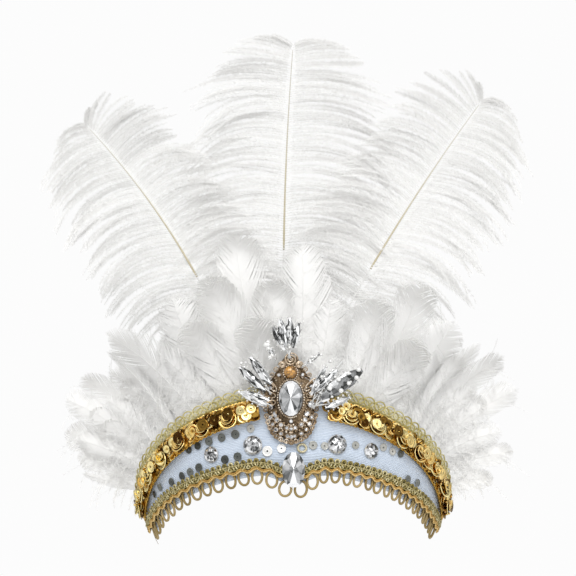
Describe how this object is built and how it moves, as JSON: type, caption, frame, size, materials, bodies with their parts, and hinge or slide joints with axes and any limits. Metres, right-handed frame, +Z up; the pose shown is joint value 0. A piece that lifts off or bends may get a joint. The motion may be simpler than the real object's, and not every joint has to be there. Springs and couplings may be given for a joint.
{
  "type": "feather headband",
  "caption": "Crescent headband in pale blue satin with gold braid, sequin trim and a jewelled brooch, carrying a fan of white body feathers and tall ostrich plumes.",
  "frame": {"origin": "middle of the band's inner face at its front, level with the middle of the lower braid, where it rests on the forehead", "axes": "+X to the wearer's left, which is the right of the picture; +Y from the front to the back of the head; +Z up"},
  "size_m": [0.2918, 0.1039, 0.2932],
  "materials": {
    "satin": "pale blue ribbed satin over a stiff base",
    "braid": "olive and gold metallic gimp braid",
    "cord": "brown-gold twisted cord",
    "sequin_gold": "metallised gold foil and cord",
    "lace": "pale green-gold metallic lace",
    "brooch_metal": "antique rose-gold filigree",
    "crystal": "clear faceted stones with foiled backs",
    "amber": "amber stone",
    "sequin_white": "pearly white foil",
    "sequin_grey": "dark silver foil",
    "plume": "soft white ostrich barbs",
    "feather": "white goose and coque vanes"
  },
  "bodies": {
    "root": {"band": "satin", "lower_braid": "braid", "loop_fringe": "cord", "sequin_trim_left": "sequin_gold", "lace_edge_left": "lace", "sequin_trim_right": "sequin_gold", "lace_edge_right": "lace", "brooch_plate": "brooch_metal", "brooch_stone": "crystal", "brooch_amber": "amber", "point_jewel": "crystal", "spray_top": "crystal", "spray_left": "crystal", "spray_left_low": "crystal", "spray_right_thin": "crystal", "spray_right_inner": "crystal", "spray_right_outer": "crystal", "bead_cluster": "crystal", "crystal_left_inner": "crystal", "crystal_left_outer": "crystal", "crystal_right_inner": "crystal", "crystal_right_outer": "crystal", "sequin_white_01": "sequin_white", "sequin_white_02": "sequin_white", "sequin_white_03": "sequin_white", "sequin_white_04": "sequin_white", "sequin_white_05": "sequin_white", "sequin_white_06": "sequin_white", "sequin_white_07": "sequin_white", "sequin_white_08": "sequin_white", "sequin_grey_01": "sequin_grey", "sequin_grey_02": "sequin_grey", "sequin_grey_03": "sequin_grey", "sequin_grey_04": "sequin_grey", "sequin_grey_05": "sequin_grey", "sequin_grey_06": "sequin_grey", "sequin_grey_07": "sequin_grey", "sequin_grey_08": "sequin_grey", "sequin_grey_09": "sequin_grey", "sequin_grey_10": "sequin_grey", "sequin_ring": "sequin_gold", "feather_centre_left": "feather", "feather_centre": "feather", "feather_left_high": "feather", "feather_left_wide": "feather", "feather_left_long": "feather", "feather_left_thin": "feather", "feather_left_curl_high": "feather", "feather_left_curl_middle": "feather", "feather_left_curl_low": "feather", "feather_left_wisp": "feather", "feather_right_high": "feather", "feather_right_wide": "feather", "feather_right_pale": "feather", "feather_right_curl_high": "feather", "feather_right_curl_middle": "feather", "feather_right_low": "feather", "plume_left": "plume", "plume_right": "plume", "plume_centre": "plume"}
  },
  "joints": []
}
